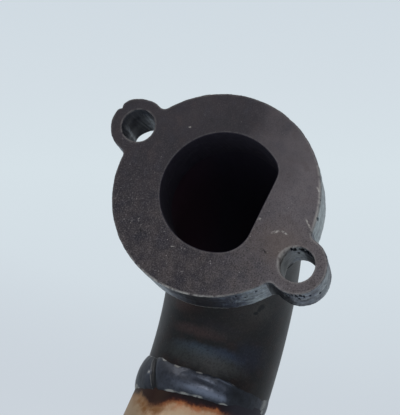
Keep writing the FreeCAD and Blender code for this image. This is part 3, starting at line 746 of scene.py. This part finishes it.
RIM_PITS = (np.zeros(2), FLANGE_RADIUS, [
    (1.5, 1.4, 0.5, 1.4), (-50, 4.0, 0.35, 0.8), (-57, 7.0, 0.4, 1.2), (-61, 3.0, 0.3, 0.8),
    (-65, 9.0, 0.5, 1.2),
])


def pit_at(point, depth, centre, radius, pits):
    """How deep in a pit a place of a wall is, from 0 to 1."""
    angle = bearing(point - centre)
    most = 0.0
    for at, behind, half_width, half_depth in pits:
        across = math.radians((angle - at + 180) % 360 - 180) * radius
        away = math.hypot(across / half_width, (depth - behind) / half_depth)
        if away < 2.0:
            away *= 1.0 + 0.30 * rough(across * 1.6, depth * 0.9, float(at))
            most = max(most, 1.0 - away**3)
    return most


# Rounding of the plate's back edge; the front edge's depends on the place
BACK_ROUNDING = 0.5


def wall_point(name, seed, row, point, normal, run):
    """One point in a row of a cut wall, and its values in the order of FLANGE_MARKS."""
    about = bearing(point)
    at_lower = bearing(point - LOWER_EAR)
    at_upper = bearing(point - UPPER_EAR)
    on_ear = np.linalg.norm(point - LOWER_EAR) < EAR_REACH
    front, worn, bare_and_painted_light, behind, rust = 0.35, 0.10, 0.12, 0.0, 0.0
    if name == "rim":
        right = bump_at(about, 8.0, 24.0)
        front += 0.45 * right
        worn = 0.15 + 0.85 * bump_at(about, -98.0, 30.0) + 0.5 * right
        # Bare and bright on the right; darker low on the rim at -82 degrees, partly dark oxide and partly
        # painted shade
        bare_and_painted_light = 0.95 * right - 0.60 * bump_at(about, -82.0, 13.0)
        bare_and_painted_light += 0.45 * bump_at(about, -50.0, 9.0) + 0.4 * bump_at(about, -112.0, 13.0)
        if on_ear and np.linalg.norm(point) > FLANGE_RADIUS:
            bare_and_painted_light = -0.02 + 0.35 * bump_at(at_lower, -12.0, 26.0)
            # Darker where the lower ear meets the disc: partly scale, partly painted shadow in the corner
            behind = -2.2 * bump_at(at_lower, -122.0, 27.0)
            worn = 0.35
    elif name == "lower hole":
        dished = bump_at(at_lower, 168.0, 42.0)
        front += 1.2 * dished
        worn = 0.25 + 0.3 * dished
        bare_and_painted_light = 0.02 + 0.25 * bump_at(at_lower, 110.0, 25.0)
        bare_and_painted_light -= 0.40 * bump_at(at_lower, -175.0, 45.0)
        rust = 0.35 + 0.65 * bump_at(at_lower, 178.0, 40.0)
    elif name == "upper hole":
        worn = 0.2
        bare_and_painted_light = -0.68
        # Paler deeper in the upper hole's dark wall, at its left and top: painted highlights
        behind = 1.1 * bump_at(at_upper, -178.0, 8.0) + 1.1 * bump_at(at_upper, 84.0, 18.0)
    inset, depth, cut = row_place(row, front, BACK_ROUNDING)
    push = -inset
    pit = 0.0
    if cut > 0:
        rugged = 0.4 if name == "port" else 1.0
        push += cut * rugged * cut_height(run, depth, 10.0 * seed)
        if name == "lower hole":
            pit = pit_at(point, depth, *HOLE_PITS)
        elif name == "rim":
            pit = pit_at(point, depth, *(EAR_PITS if on_ear else RIM_PITS))
        push -= 0.8 * pit * cut
    if name == "rim":
        push += ear_damage(point) * min(1.0, 1.5 - depth / THICKNESS)
    elif name == "lower hole":
        push += 0.8 * dished * max(0.0, 1.0 - depth / 9.0)
    elif name == "upper hole":
        push += 0.85 * bump_at(at_upper, 128.0, 46.0) * (depth / THICKNESS) ** 2
    place = point + normal * push
    worn *= row[0] in ("front", "back")
    # The depth term adds painted shadow where the lower ear meets the disc and painted highlights in the
    # upper hole
    bare_and_painted_light += behind * min(1.0, 1.6 * depth / THICKNESS)
    soot = name == "port" and cut > 0
    marks = (cut, worn, bare_and_painted_light, soot, min(1.0, 2.0 * pit), rust, name == "upper hole")
    return (place[0], depth, place[1]), marks


def flange_piece(material):
    """The plate with cut edges: every wall is a grid of rows, and both faces are filled between rings."""
    walls = [("rim", flange_outline(), RIM_POINTS, 1), ("port", port_outline(), PORT_POINTS, -1)]
    for name, centre in (("lower hole", LOWER_EAR), ("upper hole", UPPER_EAR)):
        start = centre + (STUD_HOLE_RADIUS, 0)
        walls.append((name, sampled_arc(centre, start, start - (0, 1e-6), 1), HOLE_POINTS, -1))
    verts, faces, marks, front_rings, back_rings = [], [], [], [], []
    rows = edge_rows()
    for seed, (name, outline, count, side) in enumerate(walls):
        points, normals, length = evenly(outline, count)
        base = len(verts)
        for row in rows:
            for i in range(count):
                vert, values = wall_point(name, seed, row, points[i], normals[i] * side, i * length / count)
                verts.append(vert)
                marks.append(values)
        for row in range(len(rows) - 1):
            for i in range(count):
                j = (i + 1) % count
                a, b = base + row * count + i, base + row * count + j
                faces.append((a, b, b + count, a + count))
        front_rings.append(range(base, base + count))
        back_rings.append(range(len(verts) - count, len(verts)))
    for rings in (front_rings, back_rings):
        faces += filled(verts, rings)
    marks = dict(zip(FLANGE_MARKS, np.transpose(marks)))
    make_piece("flange_plate", "inlet_flange", verts, faces, material, marks, 40.0)


def filled(verts, rings):
    """Triangles of the flat area between an outer ring and the rings of the holes."""
    bm = bmesh.new()
    made = {}
    edges = []
    for ring in rings:
        ring = list(ring)
        for i in ring:
            made[i] = bm.verts.new(verts[i])
        for i, j in zip(ring, ring[1:] + ring[:1]):
            edges.append(bm.edges.new((made[i], made[j])))
    back = {vert: i for i, vert in made.items()}
    bmesh.ops.triangle_fill(bm, edges=edges, use_beauty=True, normal=(0, -1, 0))
    triangles = [tuple(back[vert] for vert in face.verts) for face in bm.faces]
    bm.free()
    return triangles


def ring_stations(centre, axis, count):
    """Stations (origin, out, up, turn) round a circle; out is radial and up is the axis."""
    axis = np.array(axis, float)
    side = np.cross(axis, (0.0, 0.0, 1.0) if abs(axis[2]) < 0.9 else (1.0, 0.0, 0.0))
    side /= np.linalg.norm(side)
    third = np.cross(axis, side)
    result = []
    for i in range(count):
        turn = 2 * math.pi * i / count
        out = side * math.cos(turn) + third * math.sin(turn)
        result.append((np.array(centre, float), out, axis, turn))
    return result


def bead_piece(name, node, ring, section, material, across=22, flat=0.8):
    """Weld bead round a ring of (centre, axis, radius, count) from a section function.

    section(turn, wobble) gives (foot, top, crown, root, profile). Foot, top and root are points in
    (out, up) coordinates, and crown is how far the bead stands proud of the line from foot to top.
    profile(t) gives at a share of that line what adds to the height, the crust (on the elbow bead with a
    painted glint) and the tone.
    """
    verts, crust_and_glint_values, tones = [], [], []
    centre, axis, radius, count = ring
    stations = ring_stations(centre, axis, count)
    for origin, out, up, turn in stations:
        foot, top, crown, root, profile = section(turn, wobble_at(turn, radius))
        foot, top, root = np.array(foot), np.array(top), np.array(root)
        chord = top - foot
        normal = np.array([chord[1], -chord[0]]) / np.linalg.norm(chord)
        if normal @ (foot + top - 2 * root) < 0:
            normal = -normal
        for k in range(across + 1):
            t = k / across
            dome = max(0.0, math.sin(math.pi * t)) ** flat
            relief, crust_and_glint, tone = profile(t)
            place = foot + chord * t + normal * (crown + relief) * dome
            verts.append(origin + out * place[0] + up * place[1])
            crust_and_glint_values.append(crust_and_glint)
            tones.append(tone)
        verts.append(origin + out * root[0] + up * root[1])
        crust_and_glint_values.append(1.0)
        tones.append(0.0)
    size = across + 2
    faces = []
    for i in range(count):
        j = (i + 1) % count
        for k in range(size):
            m = (k + 1) % size
            faces.append((i * size + k, i * size + m, j * size + m, j * size + k))
    make_piece(name, node, verts, faces, material, {"toe": crust_and_glint_values, "tone": tones}, 50.0)


def wobble_at(turn, radius):
    """Slow change along a bead, by seed and size, that comes back to its start after one round."""
    x, y = math.cos(turn) * radius, math.sin(turn) * radius
    return lambda seed, size: rough(x / size, y / size, seed)


def rippled(turn, wobble, radius, pitch, height):
    """Profile of a plain bead: even crescents with a little unevenness, and crust at both edges."""
    phase = turn * round(2 * math.pi * radius / pitch)
    beat = height * (1.0 + 0.35 * wobble(5.0, 9.0))

    def profile(t):
        across = 2 * t - 1
        return beat * math.cos(phase - 0.9 * math.pi * across**2), abs(across) ** 5, 0.0
    return profile


def fillet_ring(name, node, centre, axis, radius, leg, material, root):
    """Fillet bead round a pipe that stands on a plate; the axis leaves the plate."""
    def section(turn, wobble):
        foot = radius + leg * (1.0 + 0.10 * wobble(1.0, 6.0))
        top = leg * (1.0 + 0.12 * wobble(2.0, 6.0))
        crown = leg * (0.16 + 0.06 * wobble(3.0, 8.0))
        profile = rippled(turn, wobble, radius, RIPPLE_PITCH, RIPPLE_HEIGHT)
        return (foot, -0.15), (radius - 0.2, top), crown, (radius - root, -0.3), profile
    count = int(2 * math.pi * radius / FILLET_SPACING)
    bead_piece(name, node, (centre, axis, radius, count), section, material)


def rim_ring(name, node, at, ahead, material):
    """Thin bead in the corner between a cap and the shell's end; ahead leaves the can."""
    def section(turn, wobble):
        reach = 2.6 * (1.0 + 0.10 * wobble(1.0, 7.0))
        lip = SHELL_RADIUS - 0.05 + 0.04 * wobble(2.0, 7.0)
        profile = rippled(turn, wobble, SHELL_RADIUS, 1.7, 0.08)
        return (CAP_RADIUS - 0.1, reach), (lip, -0.3), 0.35, (CAP_RADIUS - 0.2, -0.3), profile
    ring = ((at, CAN_Y, CAN_Z), (ahead, 0, 0), SHELL_RADIUS, RIM_BEAD_POINTS)
    bead_piece(name, node, ring, section, material, across=12)


# Where spatter and crust lie along the elbow bead's edges: (angle, spread) in degrees
CRUST_ABOVE = [(-44, 5), (-34, 4), (-18, 5), (3, 4), (35, 3), (66, 5), (120, 8), (170, 12)]
CRUST_BELOW = [(-62, 9), (-17, 7), (-4, 5), (8, 6), (31, 6), (72, 8), (140, 10), (200, 12)]


def elbow_bead(material):
    """The fat hand-laid bead between elbow and header.

    It is widest at the left, where a lump stands proud and ends in a slanting step with a round
    drop of metal beside it. In front of the elbow a second pass overlaps the first and leaves a
    ridge, a valley and a broad lower roll. Angles are 0 in front and grow to the right.
    """
    radius = ELBOW_RADIUS
    lean = math.tan(HEADER_LEAN)

    def section(turn, wobble):
        run = turn * radius
        angle = math.degrees(turn) - 180.0
        side = -math.sin(turn)
        swell = bump_at(angle, -76.0, 40.0)
        upper = BEAD_UPPER + 0.35 * wobble(1.0, 6.0) + 0.25 * wobble(4.0, 1.6)
        upper += 0.45 * bump_at(angle, -37.0, 8.0) - 0.35 * bump_at(angle, -18.0, 8.0)
        lower = BEAD_LOWER - BEAD_TILT * side
        lower += 0.35 * wobble(2.0, 6.0) + 0.25 * wobble(5.0, 1.6)
        low_radius = radius - lean * lower * side
        upper += 0.9 * swell
        lower += 1.5 * swell
        crown = 1.25 - 0.35 * side + 0.2 * wobble(3.0, 6.0)
        second_pass = rise((angle + 6.0) / 5.0)
        thin = rise((angle - 33.0) / 2.0) * bump_at(angle, 33.0, 60.0)
        bend = 0.02 * max(0.0, angle - 9.0) ** 1.25
        crust_above = min(1.0, sum(bump_at(angle, *patch) for patch in CRUST_ABOVE))
        crust_below = min(1.0, sum(bump_at(angle, *patch) for patch in CRUST_BELOW))

        def profile(t):
            up = t * (upper + lower) - lower
            on_lump = rise(-1.3 * (angle + 41.5 + 1.4 * up))
            drop = bump_at(angle, -43.2, 1.7) * hump(up, -0.7, 0.65)
            roll = second_pass * rise((30.0 - angle - 1.25 * up) / 1.3)

            relief = 0.60 * swell * on_lump - 0.70 * bump_at(angle, -39.5 - 1.4 * up, 3.0)
            relief += 0.40 * drop - 0.50 * bump_at(angle, -90.0, 24.0) - 0.45 * thin
            relief += roll * (0.42 * hump(up, -1.1, 1.7) - 0.36 * hump(up + bend, 2.2, 1.0))
            relief += 0.34 * second_pass * hump(up + bend, 4.2, 0.45) * bump_at(angle, 24.0, 15.0)
            relief += 0.05 * rough(run / 2.6, t * 3.0, 3.0) + 0.03 * rough(run / 0.9, t * 8.0, 9.0)

            # Tone: painted sheen on the lower roll, painted highlight along the ridge, painted glint on the
            # drop, painted reflection on the lump's left edge and painted shade in its middle; darker oxide
            # on the thin right part, and darker at the step and the toes
            tone = roll * (1.1 * hump(up, -1.2, 1.5) + 0.40 * hump(up + bend, 2.2, 0.9))
            tone += 0.9 * hump(up + bend, 4.2, 0.30) * bump_at(angle, 24.0, 13.0)
            tone += 0.15 * hump(up, 0.0, 2.4) * bump_at(angle, -20.0, 15.0)
            tone += 1.4 * drop - 0.55 * bump_at(angle, -56.0, 11.0) * on_lump
            tone += 0.45 * bump_at(angle, -80.0, 10.0) - 0.30 * bump_at(angle, -32.0, 9.0)
            tone -= 0.75 * thin + 1.5 * bump_at(angle, -40.0 - 1.4 * up, 2.4)
            tone -= 0.5 * hump(up, -lower, 0.7) + 0.4 * hump(up, upper, 0.8)

            # Crust at the toes and round the lump; on the drop a painted glint, and along the step's edge
            # partly crust, partly a painted highlight
            crust_and_glint = max(
                drop,
                crust_above * hump(up, upper - 0.40, 0.60),
                crust_below * hump(up, 0.50 - lower, 0.65),
                0.61 * bump_at(angle, -43.2 - 1.4 * up, 1.6),
                bump_at(angle, -66.0, 10.0) * hump(up, 1.0 - lower, 1.2),
                0.8 * bump_at(angle, 80.0, 10.0) * (t > 0.05),
            )
            return relief, crust_and_glint, tone
        return (low_radius - 0.35, -lower), (radius - 0.35, upper), crown, (radius - 1.6, 0.0), profile
    ring = (JOINT, (0.0, 0.0, 1.0), radius, ELBOW_BEAD_POINTS)
    bead_piece("elbow_bead", "elbow_weld", ring, section, material, across=40, flat=0.55)


# The scene's stage, light and camera. First what the camera sees, and what lights the part:
# stops are (lean, red, green, blue), where lean is how far a sight line leans along a direction
BACKDROP_DEEP = rgb(203, 211, 219)
BACKDROP_UP = (-0.26, -0.28, 0.92)
BACKDROP_STOPS = [
    (-0.22, 201, 209, 217), (-0.06, 211, 221, 228), (0.04, 214, 225, 231), (0.12, 211, 221, 228),
    (0.24, 207, 217, 225),
]
HORIZON_STOPS = [(0.0, 0, 0, 0), (0.12, 255, 255, 255)]
FILL_TOWARDS = (0.0, 0.86, 0.5)
FILL_STOPS = [(-0.95, 34, 36, 40), (-0.35, 70, 74, 78), (0.1, 160, 168, 174), (0.7, 200, 208, 214)]

# Lamps: (name, place, target, size, power, colour), in metres
LAMPS = [
    ("key", (-0.75, -0.75, 0.95), (-0.05, 0.05, -0.05), 0.8, 9.5, (1.0, 0.985, 0.96)),
    ("front", (0.25, -1.1, 0.32), (0.0, 0.02, 0.0), 0.55, 3.0, (0.96, 0.98, 1.0)),
    ("back", (-0.4, 1.2, 0.8), (-0.2, 0.05, -0.12), 0.8, 7.0, (1.0, 1.0, 1.0)),
]

# Round floor, in metres: its size, its middle, how far below the part it lies, and where it fades
FLOOR_RADIUS = 3.0
FLOOR_MIDDLE = (-0.2, 0.1)
FLOOR_GAP = 0.0005
FLOOR_FADE = (0.55, 1.6)


def floor_material():
    """Matte near the part; further out the background's own colour to the camera and reflections."""
    s = Shader("floor_paper")
    matte = s.node("ShaderNodeBsdfDiffuse", {"Color": rgb(214, 222, 228)})
    glow = s.node("ShaderNodeEmission", {"Color": BACKDROP_DEEP, "Strength": 1.0})
    path = s.node("ShaderNodeLightPath").outputs
    seen = s.math("MAXIMUM", path["Is Camera Ray"], path["Is Glossy Ray"])
    return s.show_either(s.times(s.step(s.length(s.coords), *FLOOR_FADE), seen), matte, glow)


def add_floor():
    """Round pale floor that fades into the background colour."""
    bm = bmesh.new()
    bmesh.ops.create_circle(bm, cap_ends=True, radius=FLOOR_RADIUS, segments=96)
    mesh = bpy.data.meshes.new("floor")
    bm.to_mesh(mesh)
    bm.free()
    floor = placed("floor", mesh)
    floor.location = (*FLOOR_MIDDLE, cad_box[0][2] - FLOOR_GAP)
    mesh.materials.append(floor_material())


def add_world():
    """Pale blue-grey surroundings: a gradient for the camera, and a fill that is dim behind it."""
    s = Shader("studio", world=True)

    def gradient(direction, stops):
        lean = s.step(s.vector("DOT_PRODUCT", s.coords, direction)["Value"], -1.0, 1.0)
        return s.ramp(lean, [((at + 1) / 2, *colour) for at, *colour in stops])

    above_horizon = gradient((0.0, 0.0, 1.0), HORIZON_STOPS)
    sky = s.mix(above_horizon, BACKDROP_DEEP, gradient(BACKDROP_UP, BACKDROP_STOPS))
    shown = s.node("ShaderNodeBackground", {"Color": sky})
    fill = s.node("ShaderNodeBackground", {"Color": gradient(FILL_TOWARDS, FILL_STOPS)})
    camera_sees = s.node("ShaderNodeLightPath").outputs["Is Camera Ray"]
    bpy.context.scene.world = s.show_either(camera_sees, fill, shown)


def add_lamp(name, place, target, size, power, colour):
    lamp = bpy.data.lights.new(name, "AREA")
    lamp.shape = "DISK"
    lamp.size = size
    lamp.energy = power
    lamp.color = colour
    holder = placed(name, lamp)
    holder.location = place
    holder.rotation_euler = (Vector(target) - Vector(place)).to_track_quat("-Z", "Y").to_euler()


# Camera, fitted to the flange's outline, port and elbow in the photograph
CAMERA_AT = (74.81, -281.26, -69.87)
CAMERA_AIM = (-2.72, 0.0, -5.37)
CAMERA_ROLL = 18.99
FOCAL_PIXELS = 1050.0
FRAME_HEIGHT = 415.0


def add_camera():
    data = bpy.data.cameras.new("camera")
    data.sensor_width = 36.0
    data.lens = FOCAL_PIXELS / FRAME_HEIGHT * data.sensor_width
    data.clip_start = 0.01
    data.clip_end = 50.0
    camera = placed("camera", data)
    at = Vector(CAMERA_AT) * MM
    ahead = (Vector(CAMERA_AIM) * MM - at).normalized()
    level = ahead.cross(Vector((0, 0, 1))).normalized()
    upright = level.cross(ahead)
    roll = math.radians(CAMERA_ROLL)
    right = level * math.cos(roll) + upright * math.sin(roll)
    top = upright * math.cos(roll) - level * math.sin(roll)
    turned = Matrix((right, top, -ahead)).transposed().to_4x4()
    camera.matrix_world = Matrix.Translation(at) @ turned
    bpy.context.scene.camera = camera


def dress(names, material):
    """Gives CAD nodes their material."""
    for name in names:
        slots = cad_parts[name].data.materials
        slots.clear()
        slots.append(material)


def main():
    dark_weld = weld_material(
        "dark_weld", rgb(29, 32, 42), rgb(108, 114, 130), rgb(142, 141, 138), crusty=0.36)
    bright_weld = weld_material(
        "bright_weld", rgb(108, 106, 110), rgb(160, 158, 156), rgb(120, 96, 70), rgb(150, 120, 90))
    flange_piece(plate_material())
    dress(["inlet_elbow"], elbow_material())
    dress(["header_pipe"], header_material())
    elbow_bead(dark_weld)

    header_foot = (CAN_FRONT, *HEADER_AT_CAN[1:])
    tail_foot = (CAN_REAR, *TAIL_AT_CAN[1:])
    header_ring = (header_foot, ELBOW_RADIUS + TINT_OFF_PIPE, HEADER_TINT)
    tail_ring = (tail_foot, TAIL_RADIUS + TINT_OFF_PIPE, TAIL_TINT)
    front_seam = ((shell_high[0], CAN_Y, CAN_Z), SHELL_RADIUS, SEAM_TINT)
    rear_seam = ((shell_low[0], CAN_Y, CAN_Z), SHELL_RADIUS, SEAM_TINT)
    for names, *look in (
            (["shell"], "shell_sheet", 0, [front_seam, rear_seam]),
            (["front_cap"], "front_cap_sheet", 1, [front_seam, header_ring]),
            (["rear_cap"], "rear_cap_sheet", 1, [rear_seam, tail_ring]),
            (["tail_pipe"], "tail_tube", 0, [tail_ring], (176, 176, 176)),
            (["front_hanger_pad", "rear_hanger_pad"], "pad_sheet", 1),
            (["front_hanger", "rear_hanger"], "hanger_sheet", 2, [], (150, 151, 153))):
        dress(names, stainless_material(*look))
    dress(["front_baffle", "rear_baffle", "inlet_tube", "outlet_tube", "return_tube"], inner_material())
    dress(["wool_packing"], wool_material())
    dress(["shell_seam_weld", "front_pad_welds", "rear_pad_welds", "front_hanger_welds", "rear_hanger_welds",
           "front_plug_welds", "rear_plug_welds"], bright_weld)
    for fillet in (
            ("flange_bead", "flange_weld", ELBOW_START, (0, 1, 0), ELBOW_RADIUS, FLANGE_LEG, dark_weld, 2.2),
            ("header_bead", "header_weld", header_foot, (1, 0, 0), ELBOW_RADIUS, CAN_LEG, bright_weld, 1.2),
            ("tail_bead", "tail_weld", tail_foot, (-1, 0, 0), TAIL_RADIUS, CAN_LEG, bright_weld, 1.2)):
        fillet_ring(*fillet)
    rim_ring("front_rim_bead", "front_rim_weld", shell_high[0], 1.0, bright_weld)
    rim_ring("rear_rim_bead", "rear_rim_weld", shell_low[0], -1.0, bright_weld)

    add_floor()
    add_world()
    for lamp in LAMPS:
        add_lamp(*lamp)
    add_camera()
    bpy.context.scene.view_settings.view_transform = "Standard"


main()
